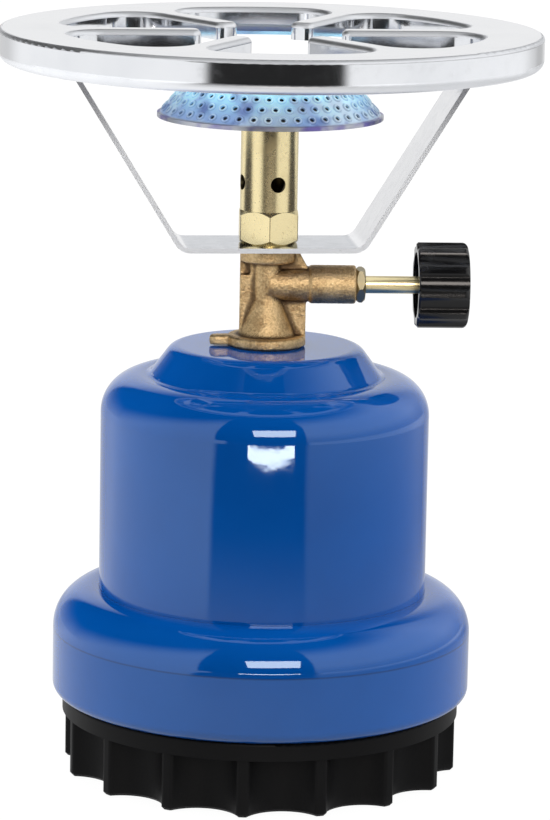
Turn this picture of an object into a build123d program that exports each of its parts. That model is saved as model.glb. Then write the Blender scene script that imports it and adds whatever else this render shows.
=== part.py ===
from build123d import *
import os
from math import acos, asin, atan2, cos, degrees, hypot, radians, sin, sqrt

os.makedirs("parts", exist_ok=True)

# The stove stands on the XY plane with its axis on Z. The valve spindle lies along X with
# the knob on the +X side, and the support bracket is turned a little from X. All lengths
# are in millimetres.

# Fits shared by all pieces
running_gap = 0.06  # radial gap of a shaft in its bore
seat_gap = 0.05  # gap round a piece that is fixed inside another
loose_gap = 0.3  # gap between pieces that move past each other
cut_overrun = 1.0  # how far a cut runs past the face that it opens

# Gas cartridge
cartridge_radius = 45.0
cartridge_height = 90.0
cartridge_wall = 0.5
cartridge_shoulder = 12.0
cartridge_crown = 2.0
cartridge_flat_radius = 14.0
cartridge_seam_width = 2.4
cartridge_seam_depth = 4.0
cartridge_end_wall = 0.8

# Base cup and its pad
base_skirt_height = 16.6
base_band_height = 5.0
base_recess_depth = 3.0
base_recess_inset = 4.0
base_floor_thickness = 3.0
base_band_setback = 2.9
base_rib_setback = 0.6
base_rib_count = 16
base_rib_turn = 3.9
base_scallop_depth = 6.2
base_rib_width = 3.2
base_rib_rounding = 1.2
base_rim_rounding = 0.8
base_bore_gap = 1.0
base_neck_height = 13.5
base_neck_wall = 4.0
base_neck_chamfer = 1.0
pad_thickness = 2.0
pad_width = 14.0
pad_inset = 1.0

# Painted steel can and collar
can_wall = 0.8
can_gap = 1.2
can_wall_height = 51.0
can_shoulder_radius = 11.0
can_ledge_width = 2.7
can_dome_height = 8.5
can_dome_run = 6.3
can_dome_rounding = 4.0
can_crease_rounding = 2.0
can_skirt_depth = 9.0
collar_wall = 0.8
collar_step = 13.1
collar_roll = 3.0
collar_wall_height = 16.0
collar_shoulder_radius = 12.0
collar_gap = 0.3
thread_ring_wall = 4.9
thread_ring_height = 12.5
thread_ring_lift = 0.6

# Cast valve body
gasket_thickness = 0.4
gasket_inset = 1.2
valve_flange_radius = 11.3
valve_flange_thickness = 2.8
valve_flange_rounding = 1.0
valve_flat_distance = 11.05
valve_lug_length = 5.0
valve_lug_width = 4.2
valve_lug_angle = 184.0
valve_spigot_radius = 8.0
valve_axis_rise = 17.7
valve_top_rise = 28.3
valve_column_radius = 4.1
valve_cone_radius = 8.3
valve_cone_rise = 10.5
valve_collar_radius = 7.8
valve_collar_height = 4.1
valve_collar_rounding = 0.8
valve_web_thickness = 3.2
valve_web_left = 7.8
valve_web_right = 11.05
valve_web_top = 8.2
valve_web_shoulder = 11.4
valve_web_shoulder_rise = 4.9
valve_notch_width = 2.9
valve_notch_height = 3.8
valve_notch_depth = 1.2
valve_notch_drop = 4.0
valve_neck_radius = 4.9
valve_neck_end = 12.0
valve_arm_radius = 5.5
valve_arm_end = 25.2
valve_arm_rounding = 0.5
valve_stud_radius = 5.0
valve_stud_height = 6.5
gas_bore_radius = 0.9
gas_bore_offset = 1.7
seat_bore_radius = 0.8
seat_distance = 0.4
outlet_bore_radius = 0.6
outlet_bore_offset = 1.4

# Pieces inside the can, under the valve
lock_nut_width = 22.0
lock_nut_height = 5.0
lock_nut_chamfer = 1.0
holder_radius = 4.5
holder_length = 8.0
holder_flange_radius = 7.5
holder_flange_thickness = 2.0
filter_thickness = 2.0
needle_radius = 1.6
needle_bore_radius = 0.7
needle_reach = 6.0
needle_bevel = 2.4
seal_thickness = 5.0
seal_radius = 7.5

# Spindle, gland and knob
spindle_radius = 2.5
spindle_tip_length = 2.2
spindle_tip_gap = 0.12
gland_bore_radius = 3.4
gland_bore_start = 17.0
gland_nut_width = 9.2
gland_nut_length = 2.6
gland_nut_turn = 6.0
gland_nut_chamfer = 0.9
gland_neck_length = 3.0
o_ring_section_radius = 0.8
o_ring_distance = 19.2
o_ring_gap = 0.1
knob_start = 42.4
knob_length = 14.6
knob_radius = 12.25
knob_wall = 1.9
knob_cup_depth = 8.0
knob_hub_radius = 5.0
knob_hub_setback = 1.2
knob_flute_count = 11
knob_flute_depth = 1.0
knob_flute_radius = 4.9
knob_ridge_angle = 84.9
knob_end_rounding = 1.6
knob_lip_chamfer = 0.5
knob_end_wall = 2.4
screw_radius = 1.4
screw_head_radius = 2.9
screw_head_height = 1.8
screw_recess_depth = 2.6
screw_length = 9.0
screw_slot_width = 0.8
screw_slot_depth = 0.8
screw_head_rounding = 0.5

# Support bracket and pan ring
bracket_thickness = 1.4
bracket_width = 24.0
bracket_foot_half = 25.6
bracket_rise = 60.9
bracket_arm_top = 62.2
bracket_tab_end = 72.4
bracket_bend_radius = 4.8
bracket_turn = 3.5
ring_radius = 76.7
ring_sheet = 1.0
ring_band_height = 9.5
ring_curl_radius = 3.0
ring_edge_rounding = 1.2
ring_opening_radius = 60.0
ring_corner_radius = 10.5
ring_flange_depth = 5.0
ring_flange_rounding = 1.6
finger_count = 6
finger_width = 7.0
finger_tip_radius = 20.0
finger_tip_rounding = 2.4

# Mixing tube, jet and burner head
tube_radius = 8.15
tube_length = 35.3
tube_bore_radius = 6.8
hex_width = 16.4
hex_height = 9.8
hex_chamfer = 1.6
hex_edge_rounding = 0.5
hex_turn = 30.0
hex_shoulder_height = 1.0
air_hole_radius = 2.2
air_hole_rise = 17.4
air_hole_count = 4
air_hole_angle = 16.0
gauze_thickness = 0.6
gauze_ledge = 0.6
gauze_hole_radius = 0.45
gauze_pitch = 1.7
gauze_count = 7
gauze_rim = 0.8
jet_thread_radius = 2.4
jet_thread_length = 5.5
jet_head_radius = 3.2
jet_head_height = 3.0
jet_chamfer = 0.8
jet_hole_radius = 0.25
pan_sheet = 0.5
pan_drop = 2.6
burner_radius = 32.0
burner_sheet = 0.5
burner_lip_height = 1.1
burner_cone_foot = 31.3
burner_cone_top = 21.0
burner_cone_height = 11.7
burner_dish_radius = 15.0
burner_dish_depth = 1.6
burner_dish_slope = 2.0
burner_rounding = 0.9
burner_hole_radius = 0.65
burner_hole_count = 46
burner_row_shares = (0.14, 0.36, 0.58, 0.80)  # places of the hole rows up the cone

# Radii and heights that follow from the sizes above
can_radius = cartridge_radius + can_gap + can_wall
collar_radius = can_radius + collar_step
thread_ring_radius = collar_radius - collar_wall - seat_gap
thread_bore_radius = thread_ring_radius - thread_ring_wall
neck_radius = thread_bore_radius - loose_gap
band_radius = collar_radius - base_band_setback
rib_radius = band_radius - base_rib_setback
base_bore_radius = cartridge_radius + base_bore_gap
rib_half_angle = degrees(asin(base_rib_width / 2 / rib_radius))
scallop_half_angle = 180 / base_rib_count - rib_half_angle
scallop_edge = rib_radius * cos(radians(scallop_half_angle))
scallop_floor = rib_radius - base_scallop_depth
scallop_centre = (rib_radius**2 - scallop_floor**2) / 2 / (scallop_edge - scallop_floor)

band_top = base_skirt_height + base_band_height
floor_top = base_recess_depth + base_floor_thickness
cartridge_bottom_z = floor_top + pad_thickness
cartridge_top_z = cartridge_bottom_z + cartridge_height

collar_bottom = band_top + collar_gap
collar_roll_z = collar_bottom + collar_roll
collar_shoulder_z = collar_roll_z + collar_wall_height
collar_seat_radius = can_radius + seat_gap
collar_arc_x = collar_radius - collar_shoulder_radius
collar_inner_arc = collar_shoulder_radius - collar_wall
collar_angle = degrees(acos((collar_seat_radius - collar_arc_x) / collar_shoulder_radius))
collar_inner_angle = degrees(acos((collar_seat_radius - collar_arc_x) / collar_inner_arc))
crease_z = collar_shoulder_z + collar_shoulder_radius * sin(radians(collar_angle))

can_bottom = crease_z - can_skirt_depth
can_shoulder_z = crease_z + can_wall_height
can_ledge_z = can_shoulder_z + can_shoulder_radius
can_ledge_radius = can_radius - can_shoulder_radius
can_dome_foot = can_ledge_radius - can_ledge_width
can_dome_top = can_dome_foot - can_dome_run
can_top = can_ledge_z + can_dome_height

flange_bottom = can_top + gasket_thickness
flange_top = flange_bottom + valve_flange_thickness
axis_z = can_top + valve_axis_rise
valve_top = can_top + valve_top_rise
seal_top = cartridge_top_z + seal_thickness
spigot_bottom = seal_top + holder_flange_thickness
holder_top = spigot_bottom + holder_length
filter_top = holder_top + filter_thickness
stud_top = valve_top + valve_stud_height

plate_top = valve_top + bracket_thickness
tube_top = plate_top + tube_length
hex_top = plate_top + hex_height
ring_underside = valve_top + bracket_rise
ring_top = ring_underside + ring_sheet
pan_edge_z = plate_top + tube_length + pan_sheet
rim_top = pan_edge_z + pan_sheet + burner_sheet

spindle_plane = Plane(origin=(0, 0, axis_z), x_dir=(0, 1, 0), z_dir=(1, 0, 0))
turn_cosine = cos(radians(bracket_turn))
turn_sine = sin(radians(bracket_turn))
bracket_plane = Plane(origin=(0, 0, 0), x_dir=(turn_cosine, turn_sine, 0), z_dir=(turn_sine, -turn_cosine, 0))
spindle_start = seat_distance + spindle_tip_gap
knob_end = knob_start + knob_length
spindle_end = knob_end - screw_recess_depth - knob_end_wall


def hexagon_turning(radius, height, chamfer_size, base_plane):
    """A round blank with chamfered ends, which trims the corners of a hexagon."""
    with BuildPart() as blank:
        with BuildSketch(base_plane):
            Circle(radius)
        extrude(amount=height)
        chamfer(blank.edges().filter_by(GeomType.CIRCLE), chamfer_size)
    return blank.part


# Base cup: scalloped skirt, plain band and threaded neck
with BuildPart() as base_cup:
    with BuildSketch() as skirt_outline:
        Circle(rib_radius)
        with PolarLocations(scallop_centre, base_rib_count, start_angle=base_rib_turn):
            Circle(scallop_centre - scallop_floor, mode=Mode.SUBTRACT)
        fillet(skirt_outline.vertices(), base_rib_rounding)
    extrude(amount=base_skirt_height)
    chamfer(base_cup.faces().sort_by(Axis.Z)[0].outer_wire().edges(), base_rim_rounding)
    with BuildSketch(Plane.XY.offset(base_skirt_height)):
        Circle(band_radius)
    extrude(amount=base_band_height)
    fillet(base_cup.faces().sort_by(Axis.Z)[-1].edges(), base_rim_rounding)
    with BuildSketch(Plane.XY.offset(band_top)):
        Circle(neck_radius)
    extrude(amount=base_neck_height)
    chamfer(base_cup.faces().sort_by(Axis.Z)[-1].edges(), base_neck_chamfer)
    with BuildSketch(Plane.XY.offset(floor_top)):
        Circle(base_bore_radius)
    extrude(amount=band_top + base_neck_height, mode=Mode.SUBTRACT)
    with BuildSketch(Plane.XY.offset(band_top)):
        Circle(neck_radius - base_neck_wall)
    extrude(amount=base_neck_height + cut_overrun, mode=Mode.SUBTRACT)
    with BuildSketch():
        Circle(base_bore_radius - base_recess_inset)
    extrude(amount=base_recess_depth, mode=Mode.SUBTRACT)
base_cup.part.label = "base_cup"
export_step(base_cup.part, "parts/base_cup.step")

# Rubber ring on the base floor
with BuildPart() as cartridge_pad:
    with BuildSketch(Plane.XY.offset(floor_top)):
        Circle(cartridge_radius - pad_inset)
        Circle(cartridge_radius - pad_inset - pad_width, mode=Mode.SUBTRACT)
    extrude(amount=pad_thickness)
cartridge_pad.part.label = "cartridge_pad"
export_step(cartridge_pad.part, "parts/cartridge_pad.step")

# Pierced cartridge: drawn body and seamed end
with BuildPart() as cartridge_body:
    shoulder_z = cartridge_top_z - cartridge_crown - cartridge_shoulder
    shoulder_edge = cartridge_radius - cartridge_shoulder
    with BuildSketch(Plane.XZ):
        with BuildLine():
            Line((0, cartridge_bottom_z), (cartridge_radius, cartridge_bottom_z))
            Line((cartridge_radius, cartridge_bottom_z), (cartridge_radius, shoulder_z))
            CenterArc((shoulder_edge, shoulder_z), cartridge_shoulder, 0, 90)
            Line((shoulder_edge, shoulder_z + cartridge_shoulder), (cartridge_flat_radius, cartridge_top_z))
            Line((cartridge_flat_radius, cartridge_top_z), (0, cartridge_top_z))
            Line((0, cartridge_top_z), (0, cartridge_bottom_z))
        make_face()
    revolve(axis=Axis.Z)
    offset(amount=-cartridge_wall, openings=cartridge_body.faces().sort_by(Axis.Z)[0])
    with BuildSketch(Plane.XY.offset(cartridge_top_z + cut_overrun)):
        Circle(needle_radius + loose_gap)
    extrude(amount=-(cartridge_wall + cut_overrun + cut_overrun), mode=Mode.SUBTRACT)
cartridge_body.part.label = "cartridge_body"
export_step(cartridge_body.part, "parts/cartridge_body.step")

with BuildPart() as cartridge_bottom:
    end_radius = cartridge_radius - cartridge_wall - seat_gap
    with BuildSketch(Plane.XY.offset(cartridge_bottom_z)):
        Circle(end_radius)
    extrude(amount=cartridge_seam_depth)
    with BuildSketch(Plane.XY.offset(cartridge_bottom_z)):
        Circle(end_radius - cartridge_seam_width)
    extrude(amount=cartridge_seam_depth - cartridge_end_wall, mode=Mode.SUBTRACT)
cartridge_bottom.part.label = "cartridge_bottom"
export_step(cartridge_bottom.part, "parts/cartridge_bottom.step")

# Blue can with its shoulder and stepped dome
with BuildPart() as upper_can:
    with BuildSketch(Plane.XZ):
        with BuildLine():
            Line((0, can_bottom), (can_radius, can_bottom))
            Line((can_radius, can_bottom), (can_radius, can_shoulder_z))
            CenterArc((can_ledge_radius, can_shoulder_z), can_shoulder_radius, 0, 90)
            Line((can_ledge_radius, can_ledge_z), (can_dome_foot, can_ledge_z))
            Line((can_dome_foot, can_ledge_z), (can_dome_top, can_top))
            Line((can_dome_top, can_top), (0, can_top))
            Line((0, can_top), (0, can_bottom))
        make_face()
    revolve(axis=Axis.Z)
    dome_edge = upper_can.faces().sort_by(Axis.Z)[-1].edges().filter_by(GeomType.CIRCLE)
    fillet(dome_edge, can_dome_rounding)
    ledge_edges = upper_can.edges().filter_by(GeomType.CIRCLE).filter_by_position(
        Axis.Z, can_ledge_z - seat_gap, can_ledge_z + seat_gap)
    fillet(ledge_edges.sort_by(SortBy.RADIUS)[0], can_crease_rounding)
    offset(amount=-can_wall, openings=upper_can.faces().sort_by(Axis.Z)[0])
    with BuildSketch(Plane.XY.offset(can_top + cut_overrun)):
        Circle(valve_spigot_radius + seat_gap)
    extrude(amount=-(can_wall + cut_overrun + cut_overrun), mode=Mode.SUBTRACT)
upper_can.part.label = "upper_can"
export_step(upper_can.part, "parts/upper_can.step")

# Blue collar: shoulder arc, straight wall and rolled lower edge
with BuildPart() as lower_collar:
    roll_x = collar_radius - collar_roll
    with BuildSketch(Plane.XZ):
        with BuildLine():
            outer_arc = CenterArc((collar_arc_x, collar_shoulder_z), collar_shoulder_radius, 0, collar_angle)
            inner_arc = CenterArc((collar_arc_x, collar_shoulder_z), collar_inner_arc, 0, collar_inner_angle)
            outer_roll = CenterArc((roll_x, collar_roll_z), collar_roll, -90, 90)
            inner_roll = CenterArc((roll_x, collar_roll_z), collar_roll - collar_wall, -90, 90)
            Line(outer_arc @ 1, inner_arc @ 1)
            Line(outer_arc @ 0, outer_roll @ 1)
            Line(inner_arc @ 0, inner_roll @ 1)
            Line(outer_roll @ 0, inner_roll @ 0)
        make_face()
    revolve(axis=Axis.Z)
lower_collar.part.label = "lower_collar"
export_step(lower_collar.part, "parts/lower_collar.step")

# Threaded ring in the collar, which takes the neck of the base
with BuildPart() as thread_ring:
    with BuildSketch(Plane.XY.offset(collar_roll_z + thread_ring_lift)):
        Circle(thread_ring_radius)
        Circle(thread_bore_radius, mode=Mode.SUBTRACT)
    extrude(amount=thread_ring_height)
thread_ring.part.label = "thread_ring"
export_step(thread_ring.part, "parts/thread_ring.step")

# Fibre gasket under the valve flange
with BuildPart() as flange_gasket:
    with BuildSketch(Plane.XY.offset(can_top)):
        Circle(valve_flange_radius - gasket_inset)
        Circle(valve_spigot_radius + seat_gap, mode=Mode.SUBTRACT)
    extrude(amount=gasket_thickness)
flange_gasket.part.label = "flange_gasket"
export_step(flange_gasket.part, "parts/flange_gasket.step")

# Cast valve body
with BuildPart() as valve_body:
    with BuildSketch(Plane.XY.offset(flange_bottom)):
        Circle(valve_flange_radius)
        with Locations((valve_flat_distance + valve_flange_radius, 0)):
            Rectangle(2 * valve_flange_radius, 2 * valve_flange_radius, mode=Mode.SUBTRACT)
        with PolarLocations(valve_flange_radius, 1, start_angle=valve_lug_angle):
            SlotOverall(2 * valve_lug_length, valve_lug_width)
    extrude(amount=valve_flange_thickness)
    fillet(valve_body.faces().sort_by(Axis.Z)[-1].edges(), valve_flange_rounding)
    with BuildSketch(Plane.XZ):
        with BuildLine():
            Polyline(
                (0, flange_bottom + valve_flange_rounding),
                (valve_cone_radius, flange_bottom + valve_flange_rounding),
                (valve_cone_radius, flange_top),
                (valve_column_radius, flange_top + valve_cone_rise),
                (valve_column_radius, valve_top - valve_collar_height),
                (valve_collar_radius, valve_top - valve_collar_height),
                (valve_collar_radius, valve_top),
                (0, valve_top),
                close=True,
            )
        make_face()
    revolve(axis=Axis.Z)
    collar_edge = valve_body.edges().filter_by(GeomType.CIRCLE).filter_by_position(
        Axis.Z, valve_top - valve_collar_height - seat_gap, valve_top - valve_collar_height + seat_gap)
    fillet(collar_edge.sort_by(SortBy.RADIUS)[-1], valve_collar_rounding)
    with BuildSketch(Plane.XZ):
        with BuildLine():
            Polyline(
                (-valve_web_left, flange_bottom + valve_flange_rounding),
                (valve_web_right, flange_bottom + valve_flange_rounding),
                (valve_web_right, axis_z),
                (valve_web_shoulder, axis_z + valve_web_shoulder_rise),
                (valve_web_top, valve_top),
                (-valve_web_left, valve_top),
                close=True,
            )
        make_face()
    extrude(amount=valve_web_thickness / 2, both=True)
    with BuildSketch(Plane.XZ.offset(valve_web_thickness / 2 - valve_notch_depth)):
        with Locations((-valve_web_left, valve_top - valve_notch_drop)):
            Rectangle(2 * valve_notch_width, valve_notch_height, align=(Align.CENTER, Align.MAX))
    extrude(amount=valve_notch_depth + cut_overrun, mode=Mode.SUBTRACT)
    with BuildSketch(spindle_plane):
        Circle(valve_neck_radius)
    extrude(amount=valve_neck_end)
    with BuildSketch(spindle_plane.offset(valve_neck_end)):
        Circle(valve_arm_radius)
    extrude(amount=valve_arm_end - valve_neck_end)
    arm_edges = valve_body.edges().filter_by(GeomType.CIRCLE).filter_by_position(
        Axis.X, valve_neck_end - seat_gap, valve_arm_end + seat_gap)
    fillet(arm_edges.group_by(SortBy.RADIUS)[-1], valve_arm_rounding)
    with BuildSketch(Plane.XY.offset(spigot_bottom)):
        Circle(valve_spigot_radius)
    extrude(amount=flange_top - spigot_bottom)
    with BuildSketch(Plane.XY.offset(valve_top)):
        Circle(valve_stud_radius)
    extrude(amount=valve_stud_height)
    with BuildSketch(Plane.XY.offset(spigot_bottom - cut_overrun)):
        Circle(holder_radius + seat_gap)
    extrude(amount=filter_top - spigot_bottom + cut_overrun, mode=Mode.SUBTRACT)
    with BuildSketch(Plane.XY.offset(filter_top - cut_overrun)):
        with Locations((-gas_bore_offset, 0)):
            Circle(gas_bore_radius)
    extrude(amount=axis_z - filter_top + cut_overrun, mode=Mode.SUBTRACT)
    with BuildSketch(spindle_plane.offset(-gas_bore_offset)):
        Circle(seat_bore_radius)
    extrude(amount=gas_bore_offset + seat_distance + cut_overrun, mode=Mode.SUBTRACT)
    with BuildSketch(spindle_plane.offset(seat_distance)):
        Circle(spindle_radius + running_gap)
    extrude(amount=valve_arm_end - seat_distance + cut_overrun, mode=Mode.SUBTRACT)
    with BuildSketch(spindle_plane.offset(gland_bore_start)):
        Circle(gland_bore_radius)
    extrude(amount=valve_arm_end - gland_bore_start + cut_overrun, mode=Mode.SUBTRACT)
    with BuildSketch(Plane.XY.offset(axis_z)):
        with Locations((outlet_bore_offset, 0)):
            Circle(outlet_bore_radius)
    extrude(amount=stud_top - axis_z - cut_overrun, mode=Mode.SUBTRACT)
    with BuildSketch(Plane.XY.offset(stud_top + cut_overrun)):
        Circle(jet_thread_radius + seat_gap)
    extrude(amount=-(jet_thread_length + cut_overrun + cut_overrun), mode=Mode.SUBTRACT)
valve_body.part.label = "valve_body"
export_step(valve_body.part, "parts/valve_body.step")

# Nut that clamps the valve from inside the can
lock_nut_bottom = can_top - can_wall - lock_nut_height
lock_nut_blank = hexagon_turning(
    lock_nut_width / sqrt(3), lock_nut_height, lock_nut_chamfer, Plane.XY.offset(lock_nut_bottom))
with BuildPart() as valve_lock_nut:
    with BuildSketch(Plane.XY.offset(lock_nut_bottom)):
        RegularPolygon(lock_nut_width / 2, 6, major_radius=False)
        Circle(valve_spigot_radius + seat_gap, mode=Mode.SUBTRACT)
    extrude(amount=lock_nut_height)
    add(lock_nut_blank, mode=Mode.INTERSECT)
valve_lock_nut.part.label = "valve_lock_nut"
export_step(valve_lock_nut.part, "parts/valve_lock_nut.step")

# Needle holder, filter, needle and seal at the valve inlet
with BuildPart() as needle_holder:
    with BuildSketch(Plane.XY.offset(spigot_bottom)):
        Circle(holder_radius)
    extrude(amount=holder_length)
    with BuildSketch(Plane.XY.offset(seal_top)):
        Circle(holder_flange_radius)
    extrude(amount=holder_flange_thickness)
    with BuildSketch(Plane.XY.offset(seal_top - cut_overrun)):
        Circle(needle_radius + seat_gap)
    extrude(amount=holder_top - seal_top + cut_overrun + cut_overrun, mode=Mode.SUBTRACT)
needle_holder.part.label = "needle_holder"
export_step(needle_holder.part, "parts/needle_holder.step")

with BuildPart() as gas_filter:
    with BuildSketch(Plane.XY.offset(holder_top)):
        Circle(holder_radius)
    extrude(amount=filter_thickness)
gas_filter.part.label = "gas_filter"
export_step(gas_filter.part, "parts/gas_filter.step")

with BuildPart() as piercing_needle:
    needle_tip = cartridge_top_z - needle_reach
    with BuildSketch(Plane.XY.offset(needle_tip)):
        Circle(needle_radius)
        Circle(needle_bore_radius, mode=Mode.SUBTRACT)
    extrude(amount=holder_top - needle_tip)
    with BuildSketch(Plane.XZ):
        with BuildLine():
            Polyline(
                (-needle_radius - cut_overrun, needle_tip - cut_overrun),
                (needle_radius + cut_overrun, needle_tip - cut_overrun),
                (needle_radius + cut_overrun, needle_tip + needle_bevel),
                (needle_radius, needle_tip + needle_bevel),
                (-needle_radius, needle_tip),
                (-needle_radius - cut_overrun, needle_tip),
                close=True,
            )
        make_face()
    extrude(amount=needle_radius + cut_overrun, both=True, mode=Mode.SUBTRACT)
piercing_needle.part.label = "piercing_needle"
export_step(piercing_needle.part, "parts/piercing_needle.step")

with BuildPart() as cartridge_seal:
    with BuildSketch(Plane.XY.offset(cartridge_top_z)):
        Circle(seal_radius)
        Circle(needle_radius + seat_gap, mode=Mode.SUBTRACT)
    extrude(amount=seal_thickness)
cartridge_seal.part.label = "cartridge_seal"
export_step(cartridge_seal.part, "parts/cartridge_seal.step")

# Spindle with its cone tip and seal groove
with BuildPart() as spindle:
    with BuildSketch(spindle_plane.offset(spindle_start + spindle_tip_length)):
        Circle(spindle_radius)
    extrude(amount=spindle_end - spindle_start - spindle_tip_length)
    with BuildSketch(Plane.XZ):
        with BuildLine():
            Polyline(
                (spindle_start, axis_z),
                (spindle_start + spindle_tip_length, axis_z + spindle_radius),
                (spindle_start + spindle_tip_length, axis_z),
                close=True,
            )
        make_face()
    revolve(axis=Axis((0, 0, axis_z), (1, 0, 0)))
    groove_half = o_ring_section_radius + o_ring_gap
    groove_radius = gland_bore_radius - 2 * o_ring_section_radius - 2 * o_ring_gap
    with BuildSketch(spindle_plane.offset(o_ring_distance - groove_half)):
        Circle(spindle_radius + cut_overrun)
        Circle(groove_radius, mode=Mode.SUBTRACT)
    extrude(amount=2 * groove_half, mode=Mode.SUBTRACT)
    with BuildSketch(spindle_plane.offset(spindle_end + cut_overrun)):
        Circle(screw_radius + seat_gap)
    extrude(amount=-(screw_length - knob_end_wall + cut_overrun + cut_overrun), mode=Mode.SUBTRACT)
spindle.part.label = "spindle"
export_step(spindle.part, "parts/spindle.step")

with BuildPart() as spindle_o_ring:
    with BuildSketch(Plane.XZ):
        with Locations((o_ring_distance, axis_z + gland_bore_radius - o_ring_section_radius - o_ring_gap)):
            Circle(o_ring_section_radius)
    revolve(axis=Axis((0, 0, axis_z), (1, 0, 0)))
spindle_o_ring.part.label = "spindle_o_ring"
export_step(spindle_o_ring.part, "parts/spindle_o_ring.step")

# Gland nut on the end of the valve arm
gland_nut_blank = hexagon_turning(
    gland_nut_width / sqrt(3), gland_nut_length, gland_nut_chamfer, spindle_plane.offset(valve_arm_end))
with BuildPart() as gland_nut:
    with BuildSketch(spindle_plane.offset(valve_arm_end)):
        RegularPolygon(gland_nut_width / 2, 6, major_radius=False, rotation=gland_nut_turn)
    extrude(amount=gland_nut_length)
    add(gland_nut_blank, mode=Mode.INTERSECT)
    with BuildSketch(spindle_plane.offset(valve_arm_end - gland_neck_length)):
        Circle(gland_bore_radius - seat_gap)
    extrude(amount=gland_neck_length)
    with BuildSketch(spindle_plane.offset(valve_arm_end - gland_neck_length - cut_overrun)):
        Circle(spindle_radius + running_gap)
    extrude(amount=gland_neck_length + gland_nut_length + cut_overrun + cut_overrun, mode=Mode.SUBTRACT)
gland_nut.part.label = "gland_nut"
export_step(gland_nut.part, "parts/gland_nut.step")

# Fluted knob, hollow towards the valve
with BuildPart() as knob:
    with BuildSketch(spindle_plane.offset(knob_start)):
        Circle(knob_radius)
    extrude(amount=knob_length)
    fillet(knob.faces().sort_by(Axis.X)[-1].edges(), knob_end_rounding)
    with BuildSketch(spindle_plane.offset(knob_start)):
        with PolarLocations(
                knob_radius - knob_flute_depth + knob_flute_radius, knob_flute_count,
                start_angle=knob_ridge_angle + 180 / knob_flute_count):
            Circle(knob_flute_radius)
    extrude(amount=knob_length, mode=Mode.SUBTRACT)
    chamfer(knob.faces().sort_by(Axis.X)[0].edges(), knob_lip_chamfer)
    with BuildSketch(spindle_plane.offset(knob_start)):
        Circle(knob_radius - knob_flute_depth - knob_wall)
        Circle(knob_hub_radius, mode=Mode.SUBTRACT)
    extrude(amount=knob_cup_depth, mode=Mode.SUBTRACT)
    with BuildSketch(spindle_plane.offset(knob_start)):
        Circle(knob_hub_radius + seat_gap)
    extrude(amount=knob_hub_setback, mode=Mode.SUBTRACT)
    with BuildSketch(spindle_plane.offset(knob_start)):
        Circle(spindle_radius + seat_gap)
    extrude(amount=spindle_end - knob_start, mode=Mode.SUBTRACT)
    with BuildSketch(spindle_plane.offset(spindle_end - cut_overrun)):
        Circle(screw_radius + seat_gap)
    extrude(amount=knob_end_wall + cut_overrun + cut_overrun, mode=Mode.SUBTRACT)
    with BuildSketch(spindle_plane.offset(knob_end + cut_overrun)):
        Circle(screw_head_radius + seat_gap)
    extrude(amount=-(screw_recess_depth + cut_overrun), mode=Mode.SUBTRACT)
knob.part.label = "knob"
export_step(knob.part, "parts/knob.step")

# Slotted screw that holds the knob
with BuildPart() as knob_screw:
    screw_seat = knob_end - screw_recess_depth
    with BuildSketch(spindle_plane.offset(screw_seat)):
        Circle(screw_head_radius)
    extrude(amount=screw_head_height)
    fillet(knob_screw.faces().sort_by(Axis.X)[-1].edges(), screw_head_rounding)
    with BuildSketch(spindle_plane.offset(screw_seat)):
        Circle(screw_radius)
    extrude(amount=-screw_length)
    with BuildSketch(spindle_plane.offset(screw_seat + screw_head_height - screw_slot_depth)):
        Rectangle(2 * screw_head_radius + cut_overrun, screw_slot_width)
    extrude(amount=screw_slot_depth + cut_overrun, mode=Mode.SUBTRACT)
knob_screw.part.label = "knob_screw"
export_step(knob_screw.part, "parts/knob_screw.step")

# Bent steel strip that carries the pan ring
with BuildPart() as support_bracket:
    foot_z = valve_top + bracket_thickness / 2
    tab_z = ring_underside - bracket_thickness / 2
    with BuildSketch(bracket_plane):
        with BuildLine():
            FilletPolyline(
                (-bracket_tab_end, tab_z),
                (-bracket_arm_top, tab_z),
                (-bracket_foot_half, foot_z),
                (bracket_foot_half, foot_z),
                (bracket_arm_top, tab_z),
                (bracket_tab_end, tab_z),
                radius=bracket_bend_radius,
            )
        trace(line_width=bracket_thickness)
    extrude(amount=bracket_width / 2, both=True)
    with BuildSketch(Plane.XY.offset(valve_top - cut_overrun)):
        Circle(valve_stud_radius + seat_gap)
    extrude(amount=bracket_thickness + cut_overrun + cut_overrun, mode=Mode.SUBTRACT)
support_bracket.part.label = "support_bracket"
export_step(support_bracket.part, "parts/support_bracket.step")

# Outline of the opening in the pan ring: six lobes with fingers between them
finger_threshold = (ring_opening_radius + finger_tip_radius) / 2
with BuildSketch() as ring_opening:
    Circle(ring_opening_radius)
    with PolarLocations(finger_tip_radius, finger_count, start_angle=bracket_turn):
        Rectangle(ring_opening_radius, finger_width, align=(Align.MIN, Align.CENTER), mode=Mode.SUBTRACT)
    tip_corners = [v for v in ring_opening.vertices() if hypot(v.X, v.Y) < finger_threshold]
    fillet(tip_corners, finger_tip_rounding)
    lobe_corners = [v for v in ring_opening.vertices() if hypot(v.X, v.Y) > finger_threshold]
    fillet(lobe_corners, ring_corner_radius)

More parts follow.
